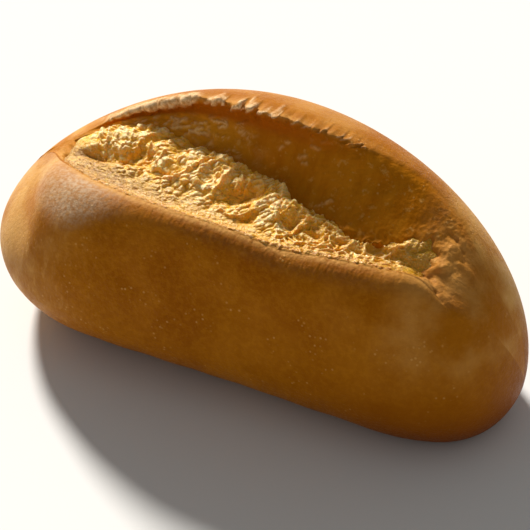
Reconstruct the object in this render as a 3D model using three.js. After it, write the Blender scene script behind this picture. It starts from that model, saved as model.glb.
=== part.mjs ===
// A crusty white bread roll with one long slash, as one closed body.
// Millimetres, +X along the roll, +Z up, flat underside on z = 0.
// The near side (-Y) is the steep smooth side, the slash opens towards it,
// and the torn lip stands on the far side (+Y) of the slash.
import * as THREE from "three";

// ---- loaf ------------------------------------------------------------
const LENGTH = 150;
const HALF_LENGTH = LENGTH / 2;
const NEAR_WIDTH = 31.8; // middle line to the near side, at mid-length
const FAR_WIDTH = 42.8; // middle line to the far side, at mid-length
const HEIGHT = 70.5;
const WIDEST_HEIGHT = 19.5; // height of the widest line above the table
const WIDEST_TILT = -3.05; // the widest line drops towards the right end
const UNDER_DEPTH = 24.5; // the rounded underside before it settles flat
const RIDGE_OFFSET = 6.1; // the top line lies this far to the far side
const TOP_POWER = 2.08; // 2 is an ellipse, more is squarer
const UNDER_POWER = 1.8;
const MIDDLE_OFFSET = -4.15; // centres the body on the Y axis

// How each size changes along the roll, besides the round taper of its ends:
// 1 + a t + b t^2 + c t^3 + d t^4, with t from -1 (left end) to 1 (right end).
const NEAR_TAPER = [-0.19, 0.64, 0.14, 0];
const FAR_TAPER = [-0.03, -0.1, -0.05, 0];
const TOP_TAPER = [0.1, -0.16, 0.12, 0];
const UNDER_TAPER = [0, 0.49, 0, 0.54];
const RIDGE_TAPER = [0, 0, 0, 0];

// ---- slash -----------------------------------------------------------
// One row for each of the stations below. The two lips are angles round the
// section (90 is the top, 180 the near side), wallFoot and lipSoft are shares,
// and the rest are millimetres. A soft lip is rounded instead of torn.
const SLASH_STATIONS = [-67, -55, -42, -28, -12, 3, 16, 28, 40, 50, 58, 67];
const SLASH = {
  nearLip: [93, 109.5, 122, 129.6, 134.2, 136, 136.6, 132.5, 127, 121.5, 124, 118],
  farLip: [90, 92, 88, 84, 87, 88.5, 86.5, 81, 75, 77, 87, 95],
  gullyDrop: [0, 0.8, 2.6, 4.4, 5.8, 5.8, 4.7, 4.3, 4.3, 3.8, 1.8, 0],
  floorDrop: [0, 0.6, 3, 6.8, 10.2, 10.4, 8.5, 7.3, 6.7, 4.8, 2.1, 0],
  wallFoot: [0.7, 0.76, 0.84, 0.85, 0.81, 0.78, 0.57, 0.41, 0.31, 0.28, 0.35, 0.5],
  footDrop: [0, 0.5, 3.3, 7.5, 11.2, 13.2, 12.8, 10, 7.8, 5.4, 2.3, 0],
  lipDrop: [0, 0, 1.8, 4.2, 4.8, 4.4, 3.2, 2, 1.5, 1.1, 0.5, 0],
  lipTuck: [0, 0.1, 0.8, 1.2, 1, 0.4, -0.2, -0.6, -0.9, -0.8, -0.4, 0],
  lipRise: [0, 0, 0.4, 1, 1, 0.9, 0.5, 0.15, 0, 0, 0, 0],
  lipSoft: [0, 0, 0, 0, 0, 0, 0.5, 1, 1, 1, 0.6, 0],
  shoulder: [3, 8, 8.5, 5.6, 4.8, 4.8, 5.4, 5.6, 5.6, 4, 2, 1],
};
const GULLY_WIDTH = 3.6; // near lip to the bottom of the gully behind it
const GULLY_SHARE = 0.3; // and never more than this share of the slash
const LIP_STEP = 0.7; // half thickness of the torn lip's edge
const LIP_SHARE = 0.06; // and never more than this share of the slash
const LIP_ROUND = 4; // degrees of near side that roll over into the lip
const RIM_ROUND = 6; // degrees of far side that roll over into the torn lip
const RIM_LIFT = 0.8; // share of the lip's rise left at the end of that roll
const RIM_FADE = 9; // degrees over which the rest of it fades out
const SHOULDER_SHARE = 0.4; // how far the near shoulder swells out, as a share of its reach
const SHOULDER_START = [-68, -52]; // the swelling grows between these two stations
const SHOULDER_END = [50, 66]; // and fades between these two, at both ends

// Swellings and hollows of the torn crumb: place, half sizes along and across
// the roll, turn in degrees, and rise (a hollow has a negative rise).
const LUMPS = [
  { x: -42.5, y: 0.1, along: 11, across: 5.5, turn: 8, rise: 1.7 },
  { x: -40.8, y: -6.4, along: 12, across: 1.7, turn: -4, rise: -1.8 },
  { x: -32.5, y: -4.9, along: 3.6, across: 2.2, turn: 0, rise: -1.3 },
  { x: -28, y: -1.6, along: 4, across: 3, turn: 30, rise: 0.9 },
  { x: -22.5, y: -8.1, along: 3.2, across: 2.1, turn: 25, rise: -0.9 },
  { x: -20.8, y: 3.5, along: 6, across: 2.4, turn: 48, rise: -1.5 },
  { x: -17.2, y: -9.8, along: 2.6, across: 2.2, turn: 20, rise: 1.1 },
  { x: -16, y: -3.2, along: 2.6, across: 4, turn: -20, rise: 1 },
  { x: -11.8, y: -7.9, along: 2.6, across: 3.2, turn: 0, rise: -0.9 },
  { x: -10.2, y: 0.4, along: 2.4, across: 3.8, turn: -15, rise: 1.2 },
  { x: -2.2, y: -8.1, along: 4.8, across: 5.6, turn: -30, rise: -1.9 },
  { x: 2.8, y: -14.5, along: 2.2, across: 1.5, turn: 0, rise: -1.1 },
  { x: 7.8, y: -1.1, along: 3, across: 2.6, turn: 0, rise: 1.6 },
  { x: 13.5, y: -12.5, along: 2.6, across: 2.4, turn: 0, rise: -1.6 },
  { x: 14, y: -6, along: 1.8, across: 1.6, turn: 0, rise: 1.3 },
  { x: 21, y: -12.7, along: 2.8, across: 2, turn: 0, rise: -1.4 },
  { x: 27.5, y: -11.3, along: 2.3, across: 1.7, turn: 0, rise: -1 },
  { x: 31.8, y: -12.6, along: 2.6, across: 1.8, turn: 0, rise: -1.1 },
  { x: 36, y: -8.7, along: 3, across: 2.2, turn: 0, rise: -1.1 },
  { x: 41.5, y: -6, along: 2.2, across: 2.2, turn: 0, rise: 0.5 },
  { x: 51, y: -3.7, along: 2.4, across: 3, turn: 0, rise: 0.4 },
  { x: 56.8, y: -5.5, along: 3, across: 2.8, turn: 0, rise: 0.5 },
  { x: 11.2, y: -8.1, along: 5.5, across: 3.2, turn: -15, rise: 1.6 },
  { x: 3.8, y: -11.3, along: 2.5, across: 1.6, turn: 10, rise: 0.8 },
  { x: -11.5, y: -9.9, along: 3, across: 2, turn: 20, rise: 0.8 },
];
const LUMP_EDGE = 1.2; // higher makes every swelling and hollow tighter

// Torn flakes along the far lip: place along the roll, half width, rise.
const FLAKES = [
  { x: -45.5, span: 3, rise: 0.7 },
  { x: -41, span: 1.5, rise: 0.8 },
  { x: -36, span: 2.1, rise: 1.1 },
  { x: -30.6, span: 1.9, rise: 1.1 },
  { x: -26.6, span: 1.6, rise: 1.1 },
  { x: -22.4, span: 1.8, rise: 0.8 },
  { x: -17, span: 1.5, rise: 1.1 },
  { x: -11.2, span: 1.4, rise: 1 },
  { x: -7.2, span: 1.2, rise: 0.9 },
  { x: -3.6, span: 1.2, rise: 0.9 },
  { x: 0.6, span: 1.1, rise: 0.9 },
  { x: 5.5, span: 1.3, rise: 0.6 },
  { x: 9, span: 1.4, rise: 0.7 },
  { x: 13.6, span: 1.4, rise: 0.8 },
  { x: 21, span: 1.8, rise: 0.7 },
  { x: 27, span: 3, rise: 0.4 },
];
const FLAKE_REACH = 0.9; // how far a flake leans over the slash, per mm of rise
const FLAKE_LIFT = 0.5; // how far it stands up, per mm of rise

// Ridges of stretched crumb: they run across the slash.
const RIDGE_PITCH = 5.2;
const RIDGE_RISE = 0.42;
const FINE_PITCH = 3.7;
const FINE_RISE = 0.24;

// ---- mesh ------------------------------------------------------------
const SLASH_REACH = 58; // stations are close together up to here
const CLOSE_STATIONS = 68;
const END_STATIONS = 8;
const NEAR_NODES = 17;
const NEAR_CLOSING = 1.5; // above 1 puts more of them near the lip
const SLASH_NODES = 28;
const FAR_NODES = 18;
const BASE_NODES = 5;
const STEEPEST_EDGE = 75; // degrees under the widest line, where the base begins
const LINE_SAMPLES = 120;
const LIP_DENSITY = 1.7; // points are this much closer at the two lips
const GULLY_PART = 0.2; // the near lip's share of the slash line
const RIM_PART = 0.72; // and where the torn lip's share begins
const CRUMB_START = 0.28; // the torn crumb lies between these two
const CRUMB_END = 0.5;
const CRUMB_FADE = 0.13;
const MIN_STEP = 1e-4;
const NEAR_SIDE = 180;
const FULL_TURN = 360;

const radians = THREE.MathUtils.degToRad;
const degrees = THREE.MathUtils.radToDeg;
const smoothstep = THREE.MathUtils.smoothstep;
const signedPower = (value, power) => Math.sign(value) * Math.abs(value) ** power;

function taper(t, [a, b, c, d]) {
  const round = Math.sqrt(Math.max(0, 1 - t * t));
  return round * (1 + a * t + b * t ** 2 + c * t ** 3 + d * t ** 4);
}

// Sizes of the whole loaf, without its slash, at a station.
function loafAt(x) {
  const t = x / HALF_LENGTH;
  const ridge = RIDGE_OFFSET * taper(t, RIDGE_TAPER);
  return {
    ridge,
    near: NEAR_WIDTH * taper(t, NEAR_TAPER) + ridge,
    far: FAR_WIDTH * taper(t, FAR_TAPER) - ridge,
    widest: WIDEST_HEIGHT + WIDEST_TILT * t,
    top: (HEIGHT - WIDEST_HEIGHT) * taper(t, TOP_TAPER),
    under: UNDER_DEPTH * taper(t, UNDER_TAPER),
  };
}

// A point of the crust: angle 0 is the far side, 90 the top, 180 the near side.
function crust(loaf, angle) {
  const across = Math.cos(radians(angle));
  const up = Math.sin(radians(angle));
  const half = across >= 0 ? loaf.far : loaf.near;
  const y = loaf.ridge + half * signedPower(across, 2 / TOP_POWER);
  if (up >= 0) {
    return { y, z: loaf.widest + loaf.top * up ** (2 / TOP_POWER) };
  }
  const sunk = loaf.widest - loaf.under * (-up) ** (2 / UNDER_POWER);
  return { y, z: Math.max(0, sunk) };
}

function crustHeight(loaf, y) {
  const half = y >= loaf.ridge ? loaf.far : loaf.near;
  const part = Math.min(1, Math.abs(y - loaf.ridge) / half);
  return loaf.widest + loaf.top * (1 - part ** TOP_POWER) ** (1 / TOP_POWER);
}

// A smooth curve through the rows of SLASH, level at its two ends.
function slashAt(x) {
  const stations = SLASH_STATIONS;
  const last = stations.length - 1;
  const place = THREE.MathUtils.clamp(x, stations[0], stations[last]);
  let i = 0;
  while (i < last - 1 && stations[i + 1] < place) {
    i += 1;
  }
  const gap = stations[i + 1] - stations[i];
  const s = (place - stations[i]) / gap;
  const found = {};
  for (const [name, row] of Object.entries(SLASH)) {
    const slope = (k) => {
      if (k === 0 || k === last) {
        return 0;
      }
      const before = stations[k] - stations[k - 1];
      const after = stations[k + 1] - stations[k];
      const rise = (row[k + 1] - row[k]) / after;
      const fall = (row[k] - row[k - 1]) / before;
      return (before * rise + after * fall) / (before + after);
    };
    const start = (2 * s ** 3 - 3 * s ** 2 + 1) * row[i];
    const lead = (s ** 3 - 2 * s ** 2 + s) * gap * slope(i);
    const end = (3 * s ** 2 - 2 * s ** 3) * row[i + 1];
    const trail = (s ** 3 - s ** 2) * gap * slope(i + 1);
    found[name] = start + lead + end + trail;
  }
  return found;
}

function flakeRise(x) {
  let rise = 0;
  for (const flake of FLAKES) {
    rise += flake.rise * Math.exp(-(((x - flake.x) / flake.span) ** 2) * 2);
  }
  return rise;
}

// The slash across one station: rounded near lip, gully, crumb floor, wall,
// hollow under the torn lip, and the torn lip itself.
function slashGuides(x, loaf, cut) {
  const nearLip = crust(loaf, cut.nearLip);
  const farLip = crust(loaf, cut.farLip);
  const width = farLip.y - nearLip.y;
  const below = (y, drop) => ({ y, z: crustHeight(loaf, y) - drop });
  const gully = nearLip.y + Math.min(GULLY_WIDTH, GULLY_SHARE * width);
  const lipStep = Math.min(LIP_STEP, LIP_SHARE * width);
  const foot = nearLip.y + cut.wallFoot * width;
  const flake = flakeRise(x) * Math.min(1, cut.lipRise);
  const rise = cut.lipRise + FLAKE_LIFT * flake;
  const lean = FLAKE_REACH * flake;
  const rolled = crust(loaf, cut.farLip - RIM_ROUND);
  return [
    crust(loaf, cut.nearLip + LIP_ROUND),
    nearLip,
    below(nearLip.y + (gully - nearLip.y) / 3, 0.28 * cut.gullyDrop),
    below(gully, cut.gullyDrop),
    below(0.55 * gully + 0.45 * foot, cut.floorDrop),
    below(foot, cut.footDrop),
    below(foot + 0.55 * (farLip.y - foot), 0.45 * cut.footDrop + 0.75 * cut.lipDrop),
    below(farLip.y + cut.lipTuck - lipStep - 2.2 * cut.lipSoft, cut.lipDrop),
    below(farLip.y + 0.2 * cut.lipTuck - lean - 0.8 * cut.lipSoft, 0.3 * cut.lipSoft - 0.4 * rise),
    below(farLip.y + lipStep - 0.6 * lean, -rise),
    { y: rolled.y, z: rolled.z + RIM_LIFT * cut.lipRise },
  ];
}

// A smooth line through the guides, from the second to the last but one.
function smoothLine(guides, samples) {
  const spans = guides.length - 3;
  const line = [];
  for (let k = 0; k <= samples; k += 1) {
    const place = (spans * k) / samples;
    const i = Math.min(spans - 1, Math.floor(place));
    const s = place - i;
    const blend = (a, b, c, d) => {
      const bend = 2 * a - 5 * b + 4 * c - d;
      const twist = 3 * b - a - 3 * c + d;
      return 0.5 * (2 * b + (c - a) * s + bend * s ** 2 + twist * s ** 3);
    };
    const [p, q, r, t] = guides.slice(i, i + 4);
    line.push({ y: blend(p.y, q.y, r.y, t.y), z: blend(p.z, q.z, r.z, t.z), part: place / spans });
  }
  return line;
}

// The same line with evenly spaced points, closer together at the two lips.
function spaceOut(line, count) {
  const reached = [0];
  for (let k = 1; k < line.length; k += 1) {
    const step = Math.hypot(line[k].y - line[k - 1].y, line[k].z - line[k - 1].z);
    const atLip = line[k].part < GULLY_PART || line[k].part > RIM_PART;
    reached.push(reached[k - 1] + (atLip ? LIP_DENSITY : 1) * step + MIN_STEP);
  }
  const whole = reached[reached.length - 1];
  const points = [];
  let k = 1;
  for (let n = 0; n < count; n += 1) {
    const wanted = (whole * n) / (count - 1);
    while (k < line.length - 1 && reached[k] < wanted) {
      k += 1;
    }
    const s = Math.min(1, (wanted - reached[k - 1]) / (reached[k] - reached[k - 1]));
    const mix = (name) => line[k - 1][name] + s * (line[k][name] - line[k - 1][name]);
    points.push({ y: mix("y"), z: mix("z"), part: mix("part") });
  }
  return points;
}

function lumpRise(x, y) {
  let rise = 0;
  for (const lump of LUMPS) {
    const turn = radians(lump.turn);
    const dx = x - lump.x;
    const dy = y - lump.y;
    const along = (dx * Math.cos(turn) + dy * Math.sin(turn)) / lump.along;
    const across = (dy * Math.cos(turn) - dx * Math.sin(turn)) / lump.across;
    rise += lump.rise * Math.exp(-LUMP_EDGE * (along ** 2 + across ** 2));
  }
  return rise;
}

function ridgeRise(x, y) {
  const bend = 0.9 * Math.sin(0.31 * y + 0.12 * x);
  const broad = Math.sin((2 * Math.PI * (x + 0.25 * y)) / RIDGE_PITCH + bend);
  const swell = Math.sin(0.47 * y - 0.23 * x);
  const fine = Math.sin((2 * Math.PI * (x - 0.4 * y)) / FINE_PITCH + 2 * bend);
  return RIDGE_RISE * broad * swell + FINE_RISE * fine * Math.cos(0.9 * y);
}

// Pushes the torn crumb in and out, square to the line of its section.
function roughen(x, points, cut) {
  const torn = smoothstep(cut.footDrop, 0.3, 2.4);
  return points.map((point, k) => {
    const rising = smoothstep(point.part, CRUMB_START - CRUMB_FADE, CRUMB_START);
    const inside = rising * (1 - smoothstep(point.part, CRUMB_END, CRUMB_END + CRUMB_FADE));
    const before = points[Math.max(0, k - 1)];
    const after = points[Math.min(points.length - 1, k + 1)];
    const length = Math.hypot(after.y - before.y, after.z - before.z);
    const relief = lumpRise(x, point.y) + torn * ridgeRise(x, point.y);
    const push = (inside * relief) / length;
    return { y: point.y - (after.z - before.z) * push, z: point.z + (after.y - before.y) * push };
  });
}

// The near side up to the lip, swollen outward just below the lip. The swelling
// is pushed square to the section's line, and fades towards both ends.
function nearSide(x, loaf, cut, edge, lip) {
  const points = [];
  for (let k = 0; k < NEAR_NODES; k += 1) {
    const share = 1 - (1 - k / NEAR_NODES) ** NEAR_CLOSING;
    points.push(crust(loaf, edge + (cut.nearLip - edge) * share));
  }
  const grown = smoothstep(x, ...SHOULDER_START) * (1 - smoothstep(Math.abs(x), ...SHOULDER_END));
  return points.map((point, k) => {
    const before = points[Math.max(0, k - 1)];
    const after = points[k + 1] ?? lip;
    const length = Math.hypot(after.y - before.y, after.z - before.z);
    const way = Math.hypot(point.y - lip.y, point.z - lip.z) / cut.shoulder;
    const push = (grown * SHOULDER_SHARE * cut.shoulder * way * Math.exp(1 - way)) / length;
    return { y: point.y - (after.z - before.z) * push, z: point.z + (after.y - before.y) * push };
  });
}

// One closed section of the roll: up the near side, over the slash, down the
// far side and back along the flat underside.
function sectionAt(x) {
  const loaf = loafAt(x);
  const cut = slashAt(x);
  const reach = Math.min(1, loaf.widest / loaf.under) ** (UNDER_POWER / 2);
  const edge = Math.min(STEEPEST_EDGE, degrees(Math.asin(reach)));
  const nearEdge = NEAR_SIDE + edge;
  const line = smoothLine(slashGuides(x, loaf, cut), LINE_SAMPLES);
  const points = nearSide(x, loaf, cut, nearEdge, line[0]);
  points.push(...roughen(x, spaceOut(line, SLASH_NODES), cut));
  const rim = cut.farLip - RIM_ROUND;
  for (let k = 1; k <= FAR_NODES; k += 1) {
    const angle = rim + ((-edge - rim) * k) / FAR_NODES;
    const point = crust(loaf, angle);
    const faded = Math.exp(-(((angle - rim) / RIM_FADE) ** 2));
    points.push({ y: point.y, z: point.z + RIM_LIFT * cut.lipRise * faded });
  }
  for (let k = 1; k <= BASE_NODES; k += 1) {
    const angle = -edge + ((nearEdge - FULL_TURN + edge) * k) / (BASE_NODES + 1);
    points.push(crust(loaf, angle));
  }
  return points;
}

// Stations along the roll: evenly spaced over the slash, closing up at the
// round ends.
function stationsAlong() {
  const start = Math.asin(SLASH_REACH / HALF_LENGTH);
  const right = [];
  for (let k = 1; k <= END_STATIONS; k += 1) {
    const angle = start + ((Math.PI / 2 - start) * k) / (END_STATIONS + 1);
    right.push(HALF_LENGTH * Math.sin(angle));
  }
  const left = right.map((x) => -x).reverse();
  const middle = [];
  for (let k = 0; k < CLOSE_STATIONS; k += 1) {
    middle.push(SLASH_REACH * ((2 * k) / (CLOSE_STATIONS - 1) - 1));
  }
  return [...left, ...middle, ...right];
}

function rollGeometry() {
  const stations = stationsAlong();
  const around = NEAR_NODES + SLASH_NODES + FAR_NODES + BASE_NODES;
  const places = [];
  for (const x of stations) {
    for (const point of sectionAt(x)) {
      places.push(x, point.y + MIDDLE_OFFSET, point.z);
    }
  }
  const leftTip = places.length / 3;
  places.push(-HALF_LENGTH, MIDDLE_OFFSET, WIDEST_HEIGHT - WIDEST_TILT);
  const rightTip = leftTip + 1;
  places.push(HALF_LENGTH, MIDDLE_OFFSET, WIDEST_HEIGHT + WIDEST_TILT);
  const faces = [];
  const lastRow = (stations.length - 1) * around;
  for (let k = 0; k < around; k += 1) {
    const next = (k + 1) % around;
    faces.push(leftTip, k, next);
    for (let row = 0; row < lastRow; row += around) {
      const a = row + k;
      const b = row + next;
      faces.push(a, a + around, b);
      faces.push(b, a + around, b + around);
    }
    faces.push(lastRow + next, lastRow + k, rightTip);
  }
  const geometry = new THREE.BufferGeometry();
  geometry.setAttribute("position", new THREE.Float32BufferAttribute(places, 3));
  geometry.setIndex(faces);
  geometry.computeVertexNormals();
  return geometry;
}

const crustMaterial = new THREE.MeshStandardMaterial({
  color: 0xa8682a,
  roughness: 0.55,
  metalness: 0,
});

const group = new THREE.Group();
group.name = "bread_roll";
const roll = new THREE.Mesh(rollGeometry(), crustMaterial);
roll.name = "roll";
group.add(roll);

export default group;
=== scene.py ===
"""A crusty white bread roll with one long slash, torn crumb and a raised torn lip."""

import math
from functools import partial

import bpy
import numpy as np
from bpy.props import FloatProperty, FloatVectorProperty, IntProperty, PointerProperty
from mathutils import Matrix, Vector


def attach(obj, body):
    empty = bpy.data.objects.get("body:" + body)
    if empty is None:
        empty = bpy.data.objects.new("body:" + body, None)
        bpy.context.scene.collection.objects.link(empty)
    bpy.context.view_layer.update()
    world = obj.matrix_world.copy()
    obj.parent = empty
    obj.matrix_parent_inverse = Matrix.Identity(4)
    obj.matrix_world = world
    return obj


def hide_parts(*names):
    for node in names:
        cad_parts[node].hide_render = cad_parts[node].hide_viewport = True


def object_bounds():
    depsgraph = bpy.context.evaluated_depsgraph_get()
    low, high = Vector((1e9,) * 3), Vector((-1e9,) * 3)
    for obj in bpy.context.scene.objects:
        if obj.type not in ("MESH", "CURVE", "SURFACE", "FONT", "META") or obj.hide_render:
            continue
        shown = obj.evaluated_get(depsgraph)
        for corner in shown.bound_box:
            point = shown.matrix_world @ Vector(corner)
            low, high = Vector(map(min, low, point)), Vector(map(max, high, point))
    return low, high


bl_info = {
    "name": "Slashed Bread Roll",
    "version": (1, 0, 0),
    "blender": (4, 5, 0),
    "location": "3D View > Sidebar > Bread",
    "description": "Builds a crusty roll with a torn slash, and a plain studio round it",
    "category": "Add Mesh",
}

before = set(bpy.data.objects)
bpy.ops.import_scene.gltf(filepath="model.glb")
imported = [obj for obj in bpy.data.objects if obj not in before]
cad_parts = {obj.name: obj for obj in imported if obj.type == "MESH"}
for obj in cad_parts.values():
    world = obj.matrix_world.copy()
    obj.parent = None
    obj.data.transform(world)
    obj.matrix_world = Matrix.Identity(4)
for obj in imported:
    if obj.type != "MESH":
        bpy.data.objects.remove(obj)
CAD_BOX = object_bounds()

MM = 0.001

# How each size changes along the roll, besides the round taper of its ends.
NEAR_TAPER = (-0.19, 0.64, 0.14, 0.0)
FAR_TAPER = (-0.03, -0.1, -0.05, 0.0)
TOP_TAPER = (0.1, -0.16, 0.12, 0.0)
UNDER_TAPER = (0.0, 0.49, 0.0, 0.54)
TOP_POWER = 2.08
UNDER_POWER = 1.8
STEEPEST_EDGE = 75.0
MIDDLE_OFFSET = -4.15

# The slash, station by station: lip angles round the section, then millimetres.
SLASH_STATIONS = (-67, -55, -42, -28, -12, 3, 16, 28, 40, 50, 58, 67)
SLASH = {
    "near_lip": (93, 109.5, 122, 129.6, 134.2, 136, 136.6, 132.5, 127, 121.5, 124, 118),
    "far_lip": (90, 92, 88, 84, 87, 88.5, 86.5, 81, 75, 77, 87, 95),
    "gully_drop": (0, 0.8, 2.6, 4.4, 5.8, 5.8, 4.7, 4.3, 4.3, 3.8, 1.8, 0),
    "floor_drop": (0, 0.6, 3, 6.8, 10.2, 10.4, 8.5, 7.3, 6.7, 4.8, 2.1, 0),
    "wall_foot": (0.7, 0.76, 0.84, 0.85, 0.81, 0.78, 0.57, 0.41, 0.31, 0.28, 0.35, 0.5),
    "foot_drop": (0, 0.5, 3.3, 7.5, 11.2, 13.2, 12.8, 10, 7.8, 5.4, 2.3, 0),
    "lip_drop": (0, 0, 1.8, 4.2, 4.8, 4.4, 3.2, 2.0, 1.5, 1.1, 0.5, 0),
    "lip_tuck": (0, 0.1, 0.8, 1.2, 1, 0.4, -0.2, -0.6, -0.9, -0.8, -0.4, 0),
    "lip_rise": (0, 0, 0.4, 1, 1, 0.9, 0.5, 0.15, 0, 0, 0, 0),
    "lip_soft": (0, 0, 0, 0, 0, 0, 0.5, 1, 1, 1, 0.6, 0),
    "shoulder": (3, 8, 8.5, 5.6, 4.8, 4.8, 5.4, 5.6, 5.6, 4, 2, 1),
}
GULLY_WIDTH = 3.6
GULLY_SHARE = 0.3
LIP_STEP = 0.7
LIP_SHARE = 0.06
LIP_ROUND = 4.0
RIM_ROUND = 6.0
RIM_LIFT = 0.8
RIM_FADE = 9.0

# Swellings and hollows of the torn crumb: x, y, half sizes, turn, rise.
LUMPS = (
    (-42.5, 0.1, 11, 5.5, 8, 1.7), (-40.8, -6.4, 12, 1.7, -4, -1.8), (-32.5, -4.9, 3.6, 2.2, 0, -1.3),
    (-28, -1.6, 4, 3, 30, 0.9), (-22.5, -8.1, 3.2, 2.1, 25, -0.9), (-20.8, 3.5, 6, 2.4, 48, -1.5),
    (-17.2, -9.8, 2.6, 2.2, 20, 1.1), (-16, -3.2, 2.6, 4, -20, 1), (-11.8, -7.9, 2.6, 3.2, 0, -0.9),
    (-10.2, 0.4, 2.4, 3.8, -15, 1.2), (-2.2, -8.1, 4.8, 5.6, -30, -1.9), (2.8, -14.5, 2.2, 1.5, 0, -1.1),
    (7.8, -1.1, 3, 2.6, 0, 1.6), (13.5, -12.5, 2.6, 2.4, 0, -1.6), (14, -6, 1.8, 1.6, 0, 1.3),
    (21, -12.7, 2.8, 2, 0, -1.4), (27.5, -11.3, 2.3, 1.7, 0, -1), (31.8, -12.6, 2.6, 1.8, 0, -1.1),
    (36, -8.7, 3, 2.2, 0, -1.1), (41.5, -6, 2.2, 2.2, 0, 0.5), (51, -3.7, 2.4, 3, 0, 0.4),
    (56.8, -5.5, 3, 2.8, 0, 0.5), (11.2, -8.1, 5.5, 3.2, -15, 1.6), (3.8, -11.3, 2.5, 1.6, 10, 0.8),
    (-11.5, -9.9, 3, 2, 20, 0.8),
)
LUMP_EDGE = 1.2

# Torn strands (raised) and pockets (sunk): from x, y to x, y, half width, rise, all in tenths.
STROKES = (
    # mound
    (-455, -38, -468, 16, 7, 7), (-430, -49, -440, 12, 7, 7), (-405, -59, -410, -12, 6, 6),
    (-445, 16, -430, 39, 9, 7), (-385, -49, -388, 0, 6, 6), (-410, 13, -400, 42, 8, 7),
    (-348, -45, -340, -12, 5, 8), (-372, -18, -372, 19, 7, 7), (-380, 29, -368, 48, 9, 7),
    (-350, 24, -345, 50, 7, 8), (-348, -4, -332, 17, 7, 6), (-325, 18, -305, 56, 6, 8),
    (-505, -33, -510, 5, 10, 4), (-472, -44, -488, 2, 9, 5),
    # crease
    (-510, -50, -432, -77, 11, -15), (-432, -77, -365, -82, 11, -15), (-365, -82, -295, -75, 10, -12),
    (-345, -57, -328, -36, 15, -13), (-298, -51, -292, -34, 11, -12), (-305, 7, -272, 38, 9, -7),
    (-248, 18, -190, 53, 18, -9),
    # middle
    (-310, -39, -312, -7, 4.5, 8), (-282, -58, -285, -19, 4.5, 8), (-268, -68, -265, -25, 5, 9),
    (-265, -84, -245, -50, 9, 8), (-238, -97, -205, -78, 10, -10), (-285, -74, -258, -84, 7, 7),
    (-238, -109, -208, -99, 12, 9), (-200, -96, -178, -59, 7, 10), (-178, -59, -158, -24, 7, 9),
    (-218, -38, -180, 0, 12, 9), (-225, -5, -192, 26, 5, 7), (-150, -55, -140, -93, 10, 13),
    (-128, -79, -115, -80, 16, 8), (-90, -95, -82, -58, 8, 12), (-82, -58, -78, -18, 8, 12),
    (-110, -69, -108, -49, 5, 7), (-145, -39, -115, 4, 6, 8), (-162, -15, -145, 14, 5, 7),
    (-135, 3, -102, 24, 6, 7), (-98, -34, -82, 3, 5, 6), (-78, -3, -65, 13, 8, 8),
    (-48, -101, 10, -56, 26, -17), (-42, -65, -40, -31, 6, 14), (-18, -50, -25, -12, 5, 12),
    (5, -10, 32, -44, 5, 8), (45, -93, 60, -64, 9, 12), (42, -39, 45, -10, 9, 11),
    (72, -66, 78, -44, 12, 9), (70, -23, 72, 1, 7, 7), (-12, -114, 38, -99, 6, 7),
    (12, -153, 38, -132, 12, -12), (-42, -145, -2, -148, 6, 8), (65, -103, 100, -117, 9, 8),
    (95, -118, 112, -138, 8, 7),
    # bubbles
    (112, -111, 115, -57, 4, 9), (122, -97, 120, -59, 4, 8), (138, -118, 148, -103, 19, -16),
    (162, -133, 170, -97, 7, 8), (170, -97, 205, -72, 7, 7), (205, -121, 212, -116, 18, -14),
    (212, -81, 232, -120, 5, 9), (190, -144, 232, -128, 5, 5), (222, -80, 245, -79, 8, 8),
    (272, -116, 280, -110, 10, -16), (268, -70, 285, -71, 5, 8), (298, -136, 300, -109, 11, 9),
    (322, -88, 328, -70, 5, 7), (350, -92, 362, -84, 15, -4), (340, -116, 335, -80, 4, 8),
    (335, -80, 360, -66, 4, 8), (360, -66, 375, -74, 5, 8), (388, -74, 405, -60, 5, 7),
    (405, -60, 425, -42, 5, 8), (408, -83, 420, -76, 12, -8), (445, -52, 458, -40, 28, 4),
    # right
    (510, -83, 540, -119, 8, -12), (540, -119, 560, -131, 7, -9), (532, -108, 532, -98, 8, 3.5),
    (520, -53, 532, -42, 11, 4), (522, -5, 532, 11, 20, 4.5), (565, -113, 565, -108, 7, 3),
    (575, -120, 590, -123, 6, 2.5), (502, 36, 530, 30, 5, -5), (530, 30, 555, 13, 5, -6),
    (555, 13, 568, -4, 5, -5), (558, -18, 588, -18, 7, 3), (588, -18, 645, -42, 10, 2.5),
    (578, -71, 590, -50, 32, 4),
)

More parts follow.
